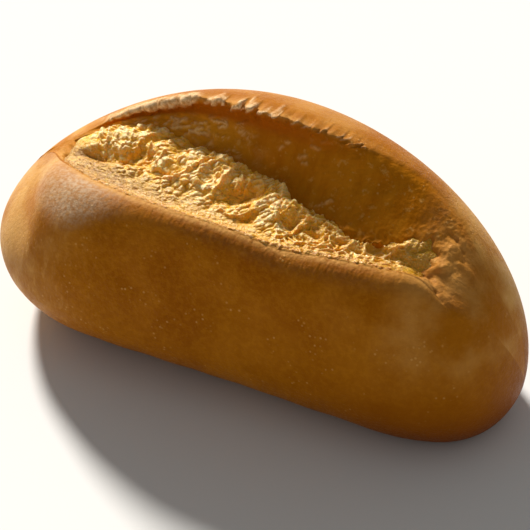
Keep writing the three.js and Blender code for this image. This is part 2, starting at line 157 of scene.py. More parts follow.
# Curled flakes of the wall and the rim, laid out on a plane that leans back like the wall:
# from right, up to right, up, half width, rise, all in tenths.
SLANT = ((0.8988, 0.4384, 0.0), (-0.2933, 0.6014, 0.7431))
MARKS = (
    # wall
    (135, 340, 175, 355, 3.3, 4.3), (-300, 593, -293, 595, 4, 4.3), (-280, 597, -272, 600, 4, 4.3),
    (-283, 580, -273, 587, 3.3, 3.6), (-334, 569, -324, 571, 3.3, 3.6), (-318, 572, -303, 574, 2.4, 3.6),
    (-237, 580, -220, 575, 4, 4.3), (-226, 567, -199, 572, 2.8, 4.3), (-212, 575, -199, 577, 3.3, 3.6),
    (-255, 562, -242, 570, 2.4, 3.6), (-237, 551, -187, 556, 2.4, 4.3), (-175, 563, -146, 564, 2.8, 4.3),
    (-188, 540, -156, 551, 3.3, 5), (-158, 538, -141, 533, 3.3, 4.3), (-218, 520, -187, 541, 2.8, 6.5),
    (-187, 541, -145, 535, 2.4, 5), (-131, 579, -110, 583, 2.8, 4.3), (-118, 569, -92, 559, 2.4, 4.3),
    (-96, 569, -89, 553, 2.4, 4.3), (-110, 550, -92, 552, 2.4, 3.6), (-129, 570, -113, 563, 2.4, 3.6),
    (-56, 558, -38, 563, 2.8, 4.3), (-24, 566, -19, 569, 3.3, 3.6), (46, 490, 54, 496, 4, 2.9),
    (64, 507, 72, 503, 4, 2.9), (96, 466, 111, 469, 4.7, 3.6), (104, 452, 113, 452, 4, 2.9),
    (128, 494, 143, 486, 4.7, 2.9), (153, 503, 169, 507, 4, 2.2),
    # rim
    (-492, 562.5, -453, 578.5, 9.1, 3.8), (-442, 583.5, -400, 584.5, 7.8, 4.5),
    (-397, 590.5, -351, 592.5, 10.4, 6), (-343, 603.5, -315, 610.5, 11.7, 7.5),
    (-297, 607.5, -262, 616.5, 13, 9), (-286, 605.5, -268, 612.5, 7.8, 4.5),
    (-247, 613.5, -219, 622.5, 13, 9), (-241, 609.5, -222, 613.5, 6.5, 4.5),
    (-206, 616.5, -175, 632.5, 13, 9), (-196, 614.5, -175, 620.5, 7.8, 4.5), (-147, 615, -123, 622, 5, 3.5),
    (-124, 609, -100, 630, 7, 7), (-101, 607, -95, 644, 4, 4), (-76, 593, -55, 606, 4.5, 7),
    (-61, 600, -48, 617, 5, 5), (-57, 590, -41, 598, 3, 4), (-37, 586, -15, 627, 4.5, 7),
    (-26, 593, -11, 608, 4, 4), (-10, 580, 9, 586, 4, 7), (21, 574, 35, 577, 3.5, 4),
    (32, 568, 60, 608, 4.5, 7), (77, 550, 91, 556, 2.8, 3.5), (101, 541, 120, 543, 2.4, 2.8),
    (125, 546, 153, 555, 2.4, 2.1), (142, 526, 176, 545, 2.8, 4.9), (155, 553, 167, 556, 2.4, 1.4),
    (189, 515, 206, 518, 2.8, 2.8), (210, 495, 252, 500, 2.4, 4.2), (229, 487, 261, 490, 2, 2.8),
    (197, 508, 223, 512, 2.4, 2.1),
)

# Torn flakes along the far lip: x, half width, rise.
FLAKES = (
    (-45.5, 3, 0.7), (-41, 1.5, 0.8), (-36, 2.1, 1.1), (-30.6, 1.9, 1.1), (-26.6, 1.6, 1.1),
    (-22.4, 1.8, 0.8), (-17, 1.5, 1.1), (-11.2, 1.4, 1), (-7.2, 1.2, 0.9), (-3.6, 1.2, 0.9),
    (0.6, 1.1, 0.9), (5.5, 1.3, 0.6), (9, 1.4, 0.7), (13.6, 1.4, 0.8), (21, 1.8, 0.7), (27, 3, 0.4),
)
FLAKE_REACH = 0.9
FLAKE_LIFT = 0.5

# The line across the slash runs from part 0 at the near lip to part 1 at the rim. The wall
# starts at WALL_START of it. The crumb ends on WALL_LINE: x, part of the line.
WALL_START = 0.5
WALL_LINE = (
    (-46, 0.58), (-38, 0.56), (-28, 0.48), (0, 0.47), (8, 0.475), (11, 0.44), (15, 0.475), (20, 0.49),
    (24, 0.48), (28, 0.445), (32, 0.455), (37, 0.49), (41, 0.53), (47, 0.57),
)
POCKET_SHARE = 0.75
SHOULDER_SHARE = 0.4
# The key light's direction. Crumb turned from it gets painted shade, a browner colour.
KEY_LIGHT_SIDE = (-0.6, 0.55, 0.58)
# How far the crust keeps below the crumb that covers it, and how deep the crumb's body is.
CRUST_SUNK = 5.0
CRUMB_DEPTH = 3.0

# How many stations along the roll, and points round it, each surface has.
SLASH_REACH = 58.0
CRUST_STATIONS = 460
END_STATIONS = 26
NEAR_POINTS = 50
SLASH_POINTS = 104
FAR_POINTS = 34
BASE_POINTS = 6
CRUMB_REACH = (-59.0, 53.0)
CRUMB_STATIONS = 655
CRUMB_POINTS = 150
CRUMB_END = 0.66
LINE_SAMPLES = 420
# The lips have this many times as many points to the millimetre.
CRUST_LIPS = 1.7
CRUMB_LIPS = 1.0
HASH = (374761393, 668265263, 974634777, 1274126177)
HASH_BITS = 0xFFFFFFFF


# Numbers


def step(value, low, high):
    """0 below low, 1 above high, and a smooth step between."""
    s = np.clip((value - low) / (high - low), 0.0, 1.0)
    return s * s * (3 - 2 * s)


def fall(value, low, high):
    """1 below low, 0 above high, and a smooth step between."""
    return 1 - step(value, low, high)


def scatter(ix, iy, seed):
    """A fixed random number from 0 to 1 for each cell of a grid."""
    h = (ix.astype(np.int64) * HASH[0] + iy.astype(np.int64) * HASH[1] + seed * HASH[2]) & HASH_BITS
    h = ((h ^ (h >> 13)) * HASH[3]) & HASH_BITS
    return ((h ^ (h >> 16)) & 0xFFFF) / 65535.0


def dough_noise(u, v, seed):
    """Smooth noise from about -1 to 1, one swelling per unit."""
    iu, iv = np.floor(u), np.floor(v)
    fu, fv = u - iu, v - iv
    su, sv = fu**3 * (fu * (fu * 6 - 15) + 10), fv**3 * (fv * (fv * 6 - 15) + 10)

    def corner(du, dv):
        turn = 2 * math.pi * scatter(iu + du, iv + dv, seed)
        return np.cos(turn) * (fu - du) + np.sin(turn) * (fv - dv)

    low = corner(0, 0) * (1 - su) + corner(1, 0) * su
    high = corner(0, 1) * (1 - su) + corner(1, 1) * su
    return 1.5 * (low * (1 - sv) + high * sv)


def ridge_noise(u, v, seed, thin=1.6):
    """Sharp crests between hollows, from 0 to 1."""
    return 1 - np.clip(np.abs(dough_noise(u, v, seed)) * thin, 0, 1)


def bubble_noise(u, v, seed):
    """Distance to the nearest and second nearest bubble centre."""
    iu, iv = np.floor(u), np.floor(v)
    first = second = np.full(u.shape, 9.0)
    for du in (-1, 0, 1):
        for dv in (-1, 0, 1):
            cu, cv = iu + du, iv + dv
            px = cu + 0.15 + 0.7 * scatter(cu, cv, seed)
            py = cv + 0.15 + 0.7 * scatter(cu, cv, seed + 7)
            gap = np.hypot(u - px, v - py)
            second = np.minimum(second, np.maximum(first, gap))
            first = np.minimum(first, gap)
    return first, second


def dome(gap, tight):
    """A round swelling: 1 where the gap is 0, falling to 0 at 1 / tight."""
    return 1 - np.clip(tight * gap, 0, 1) ** 2


# The shape of the roll


def taper(t, a=0.0, b=0.0, c=0.0, d=0.0):
    round_end = np.sqrt(np.clip(1 - t * t, 0, None))
    return round_end * (1 + a * t + b * t**2 + c * t**3 + d * t**4)


class Loaf:
    """Sizes of the whole roll at each station, in millimetres."""

    def __init__(self, sizes, x):
        half = sizes.length / MM / 2
        t = (x / half)[:, None]
        widest = sizes.widest_height / MM
        self.x = x[:, None]
        self.ridge = sizes.ridge_offset / MM * taper(t)
        self.near = sizes.near_width / MM * taper(t, *NEAR_TAPER) + self.ridge
        self.far = sizes.far_width / MM * taper(t, *FAR_TAPER) - self.ridge
        self.widest = widest + sizes.widest_tilt / MM * t
        self.top = (sizes.height / MM - widest) * taper(t, *TOP_TAPER)
        self.under = sizes.under_depth / MM * taper(t, *UNDER_TAPER)

    def crust(self, angle):
        """Points of the crust: angle 0 is the far side, 90 the top, 180 the near side."""
        across, up = np.cos(np.radians(angle)), np.sin(np.radians(angle))
        half = np.where(across >= 0, self.far, self.near)
        y = self.ridge + half * np.sign(across) * np.abs(across) ** (2 / TOP_POWER)
        above = self.widest + self.top * np.abs(up) ** (2 / TOP_POWER)
        below = self.widest - self.under * np.abs(up) ** (2 / UNDER_POWER)
        return y, np.where(up >= 0, above, np.maximum(0, below))

    def crust_height(self, y):
        half = np.where(y >= self.ridge, self.far, self.near)
        part = np.minimum(1, np.abs(y - self.ridge) / half)
        return self.widest + self.top * (1 - part**TOP_POWER) ** (1 / TOP_POWER)

    def base_edge(self):
        reach = np.minimum(1, self.widest / self.under) ** (UNDER_POWER / 2)
        return np.minimum(STEEPEST_EDGE, np.degrees(np.arcsin(reach)))


def slash_at(x):
    """Smooth curves through the rows of SLASH, level at both ends."""
    stations = np.array(SLASH_STATIONS, float)
    place = np.clip(x, stations[0], stations[-1])
    i = np.clip(np.searchsorted(stations, place) - 1, 0, len(stations) - 2)
    gap = stations[i + 1] - stations[i]
    s = (place - stations[i]) / gap
    cut = {}
    for name, row in SLASH.items():
        row = np.array(row, float)
        slope = np.gradient(row, stations)
        slope[0] = slope[-1] = 0
        start = (2 * s**3 - 3 * s**2 + 1) * row[i] + (s**3 - 2 * s**2 + s) * gap * slope[i]
        end = (3 * s**2 - 2 * s**3) * row[i + 1] + (s**3 - s**2) * gap * slope[i + 1]
        cut[name] = (start + end)[:, None]
    return cut


def flake_rise(x):
    return sum(height * np.exp(-2 * ((x - place) / span) ** 2) for place, span, height in FLAKES)


def lump_rise(x, y):
    rise = np.zeros(np.broadcast(x, y).shape)
    for px, py, half_along, half_across, turn, height in LUMPS:
        c, s = math.cos(math.radians(turn)), math.sin(math.radians(turn))
        along = ((x - px) * c + (y - py) * s) / half_along
        across = ((y - py) * c - (x - px) * s) / half_across
        rise += height * np.exp(-LUMP_EDGE * (along**2 + across**2))
    return rise


def stroke_rise(x, y, strokes=STROKES):
    """Rise of strands and pockets, and how near each point is to a pocket and to a strand."""
    shape = np.broadcast(x, y).shape
    rise, pocket, strand = np.zeros(shape), np.zeros(shape), np.zeros(shape)
    for stroke in strokes:
        x0, y0, x1, y1, half, height = (size / 10 for size in stroke)
        dx, dy = x1 - x0, y1 - y0
        along = np.clip(((x - x0) * dx + (y - y0) * dy) / (dx * dx + dy * dy), 0, 1)
        gap = np.hypot(x - x0 - along * dx, y - y0 - along * dy) / half
        swell = np.exp(-(gap**2))
        rise += (height if height > 0 else POCKET_SHARE * height) * swell
        near = pocket if height < 0 else strand
        np.maximum(near, swell, out=near)
    return rise, pocket, strand


def mark_rise(x, y, z):
    """Rise of the curled flakes on the wall and the rim, and how near each point is to one."""
    right, up = (a * x + b * y + c * z for a, b, c in SLANT)
    bend = 0.3 * dough_noise(right / 1.1, up / 1.1, 60) + 0.12 * dough_noise(right / 0.5, up / 0.5, 61)
    rise, _, mark = stroke_rise(right + bend, up - bend, MARKS)
    worn = 0.45 + 0.55 * step(dough_noise(right / 0.9, up / 0.7, 62), -0.5, 0.2)
    return rise, mark * worn


def shoulder_swell(gap, reach):
    """How far the near shoulder rolls out, by the way down from its lip."""
    way = gap / reach
    return SHOULDER_SHARE * reach * way * np.exp(1 - way)


def slash_guides(loaf, cut, ragged):
    """Guide points of the slash across each station, from near lip to far lip."""
    near_y, near_z = loaf.crust(cut["near_lip"])
    far_y, _ = loaf.crust(cut["far_lip"])
    width = far_y - near_y

    def below(y, drop):
        return np.hstack([y, loaf.crust_height(y) - drop])

    gully = near_y + np.minimum(GULLY_WIDTH, GULLY_SHARE * width)
    lip_step = np.minimum(LIP_STEP, LIP_SHARE * width)
    foot = near_y + cut["wall_foot"] * width
    flake = flake_rise(loaf.x) * np.minimum(1, cut["lip_rise"])
    soft = cut["lip_soft"]
    rise = cut["lip_rise"] + FLAKE_LIFT * flake + 0.6 * ragged
    lean = FLAKE_REACH * flake + ragged
    rolled_y, rolled_z = loaf.crust(cut["far_lip"] - RIM_ROUND)
    guides = (
        np.hstack(loaf.crust(cut["near_lip"] + LIP_ROUND)),
        np.hstack([near_y, near_z]),
        below(near_y + (gully - near_y) / 3, 0.28 * cut["gully_drop"]),
        below(gully, cut["gully_drop"]),
        below(0.55 * gully + 0.45 * foot, cut["floor_drop"]),
        below(foot, cut["foot_drop"]),
        below(foot + 0.55 * (far_y - foot), 0.45 * cut["foot_drop"] + 0.75 * cut["lip_drop"]),
        below(far_y + cut["lip_tuck"] - lip_step - 2.2 * soft, cut["lip_drop"]),
        below(far_y + 0.2 * cut["lip_tuck"] - lean - 0.8 * soft, 0.3 * soft - 0.4 * rise),
        below(far_y + lip_step - 0.6 * lean, -rise),
        np.hstack([rolled_y, rolled_z + RIM_LIFT * cut["lip_rise"]]),
    )
    return np.stack(guides, 1)


def smooth_line(guides, end):
    """A smooth line through the guides, sampled from its start to part end of it."""
    spans = guides.shape[1] - 3
    part = np.linspace(0.0, end, LINE_SAMPLES)
    i = np.minimum(spans - 1, (part * spans).astype(int))
    s = (part * spans - i)[None, :, None]
    a, b, c, d = (guides[:, i + k] for k in range(4))
    bend = 2 * a - 5 * b + 4 * c - d
    twist = 3 * b - a - 3 * c + d
    return 0.5 * (2 * b + (c - a) * s + bend * s**2 + twist * s**3), part


def slash_grid(loaf, cut, ragged, count, end, lips):
    """Even points over the slash: y, z, part of the line, and distance from the near lip."""
    line, part = smooth_line(slash_guides(loaf, cut, ragged), end)
    stride = np.hypot(*np.moveaxis(np.diff(line, axis=1), 2, 0))
    at_lip = (part[1:] < 0.2) | (part[1:] > 0.72)
    weighed = np.cumsum(np.where(at_lip, lips, 1.0) * stride + 1e-4, axis=1)
    plain = np.cumsum(stride, axis=1)
    grid = np.zeros((4, len(line), count))
    for row in range(len(line)):
        reached = np.append(0, weighed[row])
        wanted = np.linspace(0, reached[-1], count)
        lines = (line[row, :, 0], line[row, :, 1], part, np.append(0, plain[row]))
        for values, source in zip(grid, lines):
            values[row] = np.interp(wanted, reached, source)
    return grid


def stations_along(sizes):
    """Stations along the roll: even over the slash, closing up at the round ends."""
    half = sizes.length / MM / 2
    start = math.asin(SLASH_REACH / half)
    turn = start + (math.pi / 2 - start) * np.arange(1, END_STATIONS + 1) / (END_STATIONS + 1)
    right = half * np.sin(turn)
    return np.concatenate([-right[::-1], np.linspace(-SLASH_REACH, SLASH_REACH, CRUST_STATIONS), right])


def lay_out(x, y, z):
    """A grid of points, with each station's x spread over its row."""
    return np.stack([np.broadcast_to(x, y.shape), y, z], 2)


def outward(points):
    """Unit normals of a grid of points, pointing away from the roll."""
    normal = np.cross(np.gradient(points, axis=0), np.gradient(points, axis=1))
    return normal / (np.linalg.norm(normal, axis=2, keepdims=True) + 1e-9)


def push(points, distance):
    """The points, each moved outward by its distance."""
    return points + outward(points) * distance[:, :, None]


# Meshes


def make_piece(name, points, faces, masks, material):
    """A smooth mesh in metres from points in millimetres, with one mask per name."""
    mesh = bpy.data.meshes.new(name)
    shifted = (points + np.array([0.0, MIDDLE_OFFSET, 0.0])) * MM
    shifted = np.clip(shifted, CAD_BOX[0], CAD_BOX[1])
    mesh.from_pydata(shifted.tolist(), [], faces)
    for mask, values in masks.items():
        layer = mesh.attributes.new(mask, "FLOAT", "POINT")
        layer.data.foreach_set("value", np.asarray(values, np.float32).ravel())
    mesh.shade_smooth()
    mesh.materials.append(material)
    mesh.validate()
    mesh.update()
    piece = bpy.data.objects.new(name, mesh)
    bpy.context.scene.collection.objects.link(piece)
    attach(piece, "root")
    return piece


def ring_faces(rows, around, left_tip, right_tip):
    """Faces of a closed body: rings joined along the roll, with a tip at each end."""
    k = np.arange(around)
    after = (k + 1) % around
    row = (np.arange(rows - 1) * around)[:, None]
    quads = np.stack([row + k, row + around + k, row + around + after, row + after], 2)
    faces = quads.reshape(-1, 4).tolist()
    last = (rows - 1) * around
    pairs = np.stack([k, after], 1).tolist()
    faces += [[left_tip, a, b] for a, b in pairs]
    faces += [[last + b, last + a, right_tip] for a, b in pairs]
    return faces


def slab_faces(rows, count):
    """Faces of a closed slab: a fine top, skirts, and a plain bottom between two lower edges."""
    top = np.arange(rows * count).reshape(rows, count)
    low = rows * count + np.arange(rows * 2).reshape(rows, 2)
    quads = [
        np.stack([top[:-1, :-1], top[1:, :-1], top[1:, 1:], top[:-1, 1:]], 2).reshape(-1, 4),
        np.stack([top[1:, 0], top[:-1, 0], low[:-1, 0], low[1:, 0]], 1),
        np.stack([top[:-1, -1], top[1:, -1], low[1:, 1], low[:-1, 1]], 1),
        np.stack([low[:-1, 1], low[1:, 1], low[1:, 0], low[:-1, 0]], 1),
    ]
    faces = np.vstack(quads).tolist()
    faces.append(top[0].tolist() + [low[0, 1], low[0, 0]])
    faces.append(top[-1][::-1].tolist() + [low[-1, 0], low[-1, 1]])
    return faces


# Materials


class Finish:
    """A small helper that lays out the nodes of one material."""

    def __init__(self, name):
        self.material = bpy.data.materials.new(name)
        self.material.use_nodes = True
        self.nodes = self.material.node_tree.nodes
        self.links = self.material.node_tree.links
        self.shader = self.nodes["Principled BSDF"]

    def fill(self, socket, value):
        """Link a socket, or set it to a number or a colour."""
        if isinstance(value, bpy.types.NodeSocket):
            self.links.new(value, socket)
        elif socket.type == "RGBA":
            socket.default_value = (*value, 1.0)
        else:
            socket.default_value = value

    def node(self, kind, output, sockets, **settings):
        """The output of a new node, with a link or a number in each of the sockets named."""
        node = self.nodes.new("ShaderNode" + kind)
        for name, value in settings.items():
            setattr(node, name, value)
        for name, value in sockets.items():
            self.fill(node.inputs[name], value)
        return node.outputs[output]

    def place(self):
        return self.node("TexCoord", "Object", {})

    def mask(self, name, share=None):
        """One of the piece's masks, or a share of it."""
        mask = self.node("Attribute", "Fac", {}, attribute_name=name)
        return mask if share is None else self.times(mask, share)

    def noise(self, scale, detail, rough=0.55):
        """Noise over the piece. Three scales stretch it along the axes."""
        place = self.place()
        if isinstance(scale, tuple):
            place = self.node("Mapping", "Vector", {"Vector": place, "Scale": scale})
            scale = 1.0
        sockets = {"Vector": place, "Scale": scale, "Detail": detail, "Roughness": rough}
        return self.node("TexNoise", "Fac", sockets)

    def specks(self, scale, size):
        """Round specks: 1 at each speck, 0 between."""
        gap = self.node("TexVoronoi", "Distance", {"Vector": self.place(), "Scale": scale})
        return self.remap(gap, size, size * 0.35)

    def remap(self, value, low, high, to_low=0, to_high=1):
        """A smooth step from to_low, where the value is low, to to_high."""
        sockets = {"Value": value, "From Min": low, "From Max": high, "To Min": to_low, "To Max": to_high}
        return self.node("MapRange", "Result", sockets, interpolation_type="SMOOTHSTEP")

    def patches(self, scale, detail, rough, low, high, to_low=0, to_high=1):
        """Noise turned into patches with smooth edges."""
        return self.remap(self.noise(scale, detail, rough), low, high, to_low, to_high)

    def times(self, a, b):
        return self.node("Math", 0, {0: a, 1: b}, operation="MULTIPLY")

    def plus(self, a, b):
        return self.node("Math", 0, {0: a, 1: b}, operation="ADD")

    def blend(self, amount, first, second):
        """Two colours blended; a colour's sockets in this node are 6, 7 and output 2."""
        return self.node("Mix", 2, {0: amount, 6: first, 7: second}, data_type="RGBA")

    def bump(self, height, strength, distance, **under):
        sockets = {"Height": height, "Strength": strength, "Distance": distance, **under}
        return self.node("Bump", "Normal", sockets)

    def shade(self, sockets):
        """Fill the shader's sockets and return the material."""
        for name, value in sockets.items():
            self.fill(self.shader.inputs[name], value)
        return self.material


def wall_colour(f, look):
    """Browned wall: dark streaks, paler at the left where light is painted, with thin flakes that carry
    painted golden glints.
    """
    wall = f.blend(f.patches((240, 90, 60), 4, 0.6, 0.35, 0.7), look.wall_dark, look.wall_brown)
    fibrous = f.patches((260, 700, 700), 4, 0.6, 0.35, 0.6, 0.45, 0.95)
    # Painted light: the wall paler at the left.
    wall = f.blend(f.mask("lit_wall", fibrous), wall, look.painted_wall_light_and_specks)
    wall = f.blend(f.patches(420, 3, 0.6, 0.56, 0.72, 0, 0.3), wall, look.fibre_pink)
    # Painted glints on the wall's thin flakes.
    return f.blend(f.mask("glinting_flakes", 0.9), wall, look.flake_glint_gold)


def crust_finish(look):
    """Golden brown crust: mottled, paler at the torn edges, with pin blisters and a satin sheen, and with
    painted sheen, highlights, glints, light and shade in its colour.
    """
    f = Finish("baked crust")
    mottle = f.patches(70, 5, 0.55, 0.35, 0.68)
    grain = f.noise(1100, 5, 0.65)
    pins = f.times(f.specks(620, 0.28), f.patches(120, 2, 0.55, 0.52, 0.66))
    golden = f.blend(mottle, look.crust_gold, look.lip_gold)
    drawn = f.mask("drawn", f.patches((620, 620, 190), 3, 0.6, 0.5, 0.68, 0, 0.5))
    sheen = f.mask("sheen", f.patches(820, 4, 0.75, 0.4, 0.6, 0.4, 1))
    edge = f.mask("torn_edge", f.patches(700, 5, 0.7, 0.3, 0.55, 0.2, 1))
    lobe_highlight = f.times(f.remap(f.mask("lobe_highlight"), 0.15, 0.9), f.patches(560, 5, 0.7, 0.38, 0.6, 0.15, 0.8))
    colour = f.blend(f.patches(22, 3, 0.55, 0.38, 0.66), look.crust_dark, look.crust_brown)
    for amount, layer in (
        (f.times(mottle, 0.55), look.crust_gold),
        (f.patches(620, 5, 0.7, 0.42, 0.64, 0, 0.1), look.painted_wall_light_and_specks),
        (f.mask("walled"), wall_colour(f, look)),
        (f.times(pins, 0.6), look.lip_gold),
        # Painted shade, low at the right.
        (f.mask("painted_shade_dark"), look.crust_shade_dark),
        (drawn, look.lip_gold),
        # Painted sheen, speckled.
        (sheen, look.painted_sheen_pink),
        (edge, look.lip_gold),
        (f.mask("golden"), golden),
        # Painted shadow under the torn lip.
        (f.mask("shadow_face"), look.lip_shadow_red),
        # Painted highlight on the rim's curled flakes.
        (lobe_highlight, look.lobe_highlight_pale),
    ):
        colour = f.blend(amount, colour, layer)
    normal = f.bump(f.noise(260, 4, 0.6), 0.3, 0.0007)
    normal = f.bump(grain, 0.6, 0.0004, Normal=normal)
    normal = f.bump(pins, 0.4, 0.0002, Normal=normal)
    dull = look.crust_roughness
    return f.shade({
        "Base Color": colour,
        "Roughness": f.remap(grain, 0.3, 0.7, dull - 0.1, dull + 0.12),
        "Specular IOR Level": 0.06,
        "Specular Tint": (1.0, 0.5, 0.1),
        "Normal": normal,
    })


def crumb_finish(look):
    """Torn crumb: deep gold hollows, golden knobs, pale glossy crests, and brown sides; partly the crumb's
    own tone, partly painted shade in the hollows and on the brown sides and painted highlight on the crests.
    """
    f = Finish("torn crumb")
    height = f.plus(f.mask("height"), f.times(f.noise(500, 3, 0.6), 0.3))
    fibre = f.mask("band", f.patches((120, 900, 900), 3, 0.6, 0.3, 0.7))
    threads = f.patches((330, 1300, 1300), 4, 0.6, 0.52, 0.64, 0, 0.65)
    frayed = f.mask("frayed", f.patches((300, 1500, 1500), 4, 0.65, 0.38, 0.6, 0, 0.85))
    # The colour follows the "height" mask: painted shade in the hollows, painted highlight on the crests and
    # threads.
    colour = f.blend(f.remap(height, 0.32, 0.68), look.crumb_deep, look.crumb_gold)
    for amount, layer in (
        (f.remap(height, 0.7, 1.05), look.crumb_pale),
        # Pockets: smooth olive crumb, partly painted shade in these hollows.
        (f.mask("pocket", 0.55), look.crumb_olive),
        # Painted shade: crumb turned from the key light, and under the wall.
        (f.mask("painted_shade", 0.7), look.crumb_shade_brown),
        (f.times(fibre, 0.5), look.fibre_pink),
        (f.times(threads, f.remap(height, 0.4, 0.85, 0.15, 1)), look.crumb_pale),
        # Olive crumb, partly painted shade at the right end.
        (f.mask("baked", 0.8), look.crumb_olive),
        (f.mask("tan", f.patches(760, 5, 0.7, 0.36, 0.6, 0.35, 0.95)), look.crumb_tan),
        (frayed, look.wall_brown),
    ):
        colour = f.blend(amount, colour, layer)
    dull = look.crumb_roughness
    rough = f.patches(600, 3, 0.55, 0.3, 0.7, dull - 0.12, dull + 0.12)
    normal = f.bump(f.noise(1500, 3, 0.6), 0.7, 0.0005)
    return f.shade({
        "Base Color": colour,
        "Roughness": f.plus(rough, f.mask("tan", 0.12)),
        "Specular IOR Level": 0.6,
        "Specular Tint": (1.0, 0.86, 0.72),
        "Subsurface Weight": 0.45,
        "Subsurface Radius": (1.0, 0.6, 0.25),
        "Subsurface Scale": 0.0011,
        "Normal": f.bump(f.noise((420, 1500, 1500), 4, 0.6), 0.8, 0.0006, Normal=normal),
    })


# What a user may change


def setting(name, description, value, kind=FloatProperty, **limits):
    return kind(name=name, description=description, default=value, **limits)


metres = partial(setting, unit="LENGTH", precision=4)
share = partial(setting, subtype="FACTOR", min=0, max=1)
angle = partial(setting, subtype="ANGLE")
colour = partial(setting, kind=FloatVectorProperty, subtype="COLOR", min=0, max=1)


class RollSizes(bpy.types.PropertyGroup):
    length: metres("Length", "End to end", CAD_BOX[1].x - CAD_BOX[0].x)
    near_width: metres("Near width", "Middle line to the near side", 0.0318)
    far_width: metres("Far width", "Middle line to the far side", 0.0428)
    height: metres("Height", "Table to the top line", 0.0705)
    widest_height: metres("Widest height", "Table to the widest line", 0.0195)
    widest_tilt: metres("Widest tilt", "Drop of that line towards the right end", -0.00305)
    under_depth: metres("Under depth", "Depth of the underside before it is cut flat", 0.0245)
    ridge_offset: metres("Ridge offset", "Top line's distance to the far side", 0.0061)


class CrumbRelief(bpy.types.PropertyGroup):
    web_rise: metres("Web rise", "Height of the torn knobs", 0.0011)
    fibre_rise: metres("Fibre rise", "Height of the fibres", 0.0002)
    fine_rise: metres("Fine rise", "Height of the finest crumb", 0.00008)
    lip_raggedness: metres("Lip raggedness", "How far the torn lip wanders", 0.001)
    seed: setting("Seed", "Changes every random choice", 11, IntProperty, min=0)


class BakeColours(bpy.types.PropertyGroup):
    crust_brown: colour("Crust brown", "Main colour of the crust", (0.335, 0.106, 0.001))
    crust_dark: colour("Crust dark", "Darker clouds in the crust", (0.28, 0.078, 0.001))
    # Painted shade colour: the crust darker low at the right and at the slash's right end.
    crust_shade_dark: colour("Crust dusk", "Darkest crust, low at the right", (0.23, 0.055, 0.001))
    crust_gold: colour("Crust gold", "Lighter mottling of the crust", (0.43, 0.15, 0.007))
    lip_gold: colour("Lip gold", "Torn edges and pin blisters", (0.64, 0.34, 0.09))
    # Painted sheen colour: the speckled band below the near lip, and the left tip.
    painted_sheen_pink: colour("Scuff pink", "Speckles below the near lip", (0.59, 0.46, 0.32))
    fibre_pink: colour("Fibre pink", "Fibres along the near lip", (0.8, 0.49, 0.14))
    # Painted highlight colour, on the upper side of the rim's curled flakes.
    lobe_highlight_pale: colour("Lobe pale", "Curled flakes of the torn lip", (0.95, 0.69, 0.4))
    # Painted glint colour, on the thin flakes of the wall.
    flake_glint_gold: colour("Flake gold", "Thin flakes on the wall", (1.0, 0.68, 0.3))
    # Painted shadow colour, for the face under the torn lip.
    lip_shadow_red: colour("Lip red", "Face under the torn lip", (0.36, 0.095, 0.003))
    # Also painted shade in the crumb's hollows.
    crumb_deep: colour("Crumb hollows", "Deep parts of the crumb", (0.62, 0.255, 0.003))
    crumb_gold: colour("Crumb gold", "Middle of the crumb", (0.88, 0.49, 0.03))
    # Painted shade colour, for crumb turned from the key light.
    crumb_shade_brown: colour("Crumb brown", "Moist crumb turned from the heat", (0.92, 0.44, 0.012))
    crumb_tan: colour("Crumb tan", "Drier crumb by the near lip", (0.37, 0.165, 0.008))
    crumb_olive: colour("Crumb olive", "Smooth pockets of the crumb", (0.58, 0.29, 0.008))
    # Also painted highlight on the crumb's crests and threads.
    crumb_pale: colour("Crumb pale", "Crests of the crumb", (0.99, 0.75, 0.35))
    wall_brown: colour("Wall brown", "Wall of the slash", (0.5, 0.18, 0.007))
    # Painted light on the left of the wall; also the colour of fine specks over the crust.
    painted_wall_light_and_specks: colour("Wall lit", "Paler wall, and fine specks", (0.88, 0.38, 0.02))
    wall_dark: colour("Wall dark", "Darker streaks of the wall", (0.42, 0.135, 0.003))
    crust_roughness: share("Crust roughness", "Lower is glossier", 0.45)
    crumb_roughness: share("Crumb roughness", "Lower is glossier", 0.29)


class StudioLook(bpy.types.PropertyGroup):
    azimuth: angle("Azimuth", "Camera's turn from the front", math.radians(26))
    elevation: angle("Elevation", "Camera above the table", math.radians(42))
    distance: metres("Distance", "Camera to the roll", 0.6)
    lens: setting("Lens", "Focal length in millimetres", 153.2)
    key_strength: setting("Key", "Strength of the back left light", 5.9)
    fill_strength: setting("Fill", "Strength of the room's light", 0.245)
    floor_colour: colour("Floor", "Plain pale floor", (0.78, 0.78, 0.77))


# Where the slash is torn, and how its surface is broken up


def torn_part(x):
    """1 where the slash is torn open, 0 at both of its ends."""
    return step(x, -57, -46) * fall(x, 52, 60)


def shown_part(x):
    """1 where the crumb lies over the crust, 0 beyond both of its ends."""
    return step(x, -57, -52) * fall(x, 44, 51)


def wander(x, width, seed, shift=0):
    """Smooth noise along the roll alone."""
    return dough_noise(x / width, np.zeros_like(x) + shift, seed)


def lip_raggedness(x, relief):
    """How far the torn lip wanders towards the slash, along the roll."""
    coarse, fine = wander(x, 3.4, relief.seed) + 0.2, wander(x, 1.7, relief.seed + 1, 3.7)
    live = step(x, -52, -36) * (1 - 0.8 * step(x, 14, 30)) * fall(x, 40, 50)
    return relief.lip_raggedness / MM * (coarse + 0.5 * fine) * live


def wall_line(x, seed):
    """Where the crumb gives way to the browned wall, as a part of the line across the slash."""
    ragged = 0.012 * wander(x, 2.2, seed + 14) + 0.006 * wander(x, 0.8, seed + 16, 5)
    return np.interp(x, *zip(*WALL_LINE)) + ragged


def near_lip_wander(x, seed):
    """How far the edge of the crumb wanders over the near lip, in millimetres."""
    return 0.7 * wander(x, 3, seed + 50) + 0.2 * wander(x, 0.9, seed + 51, 3)


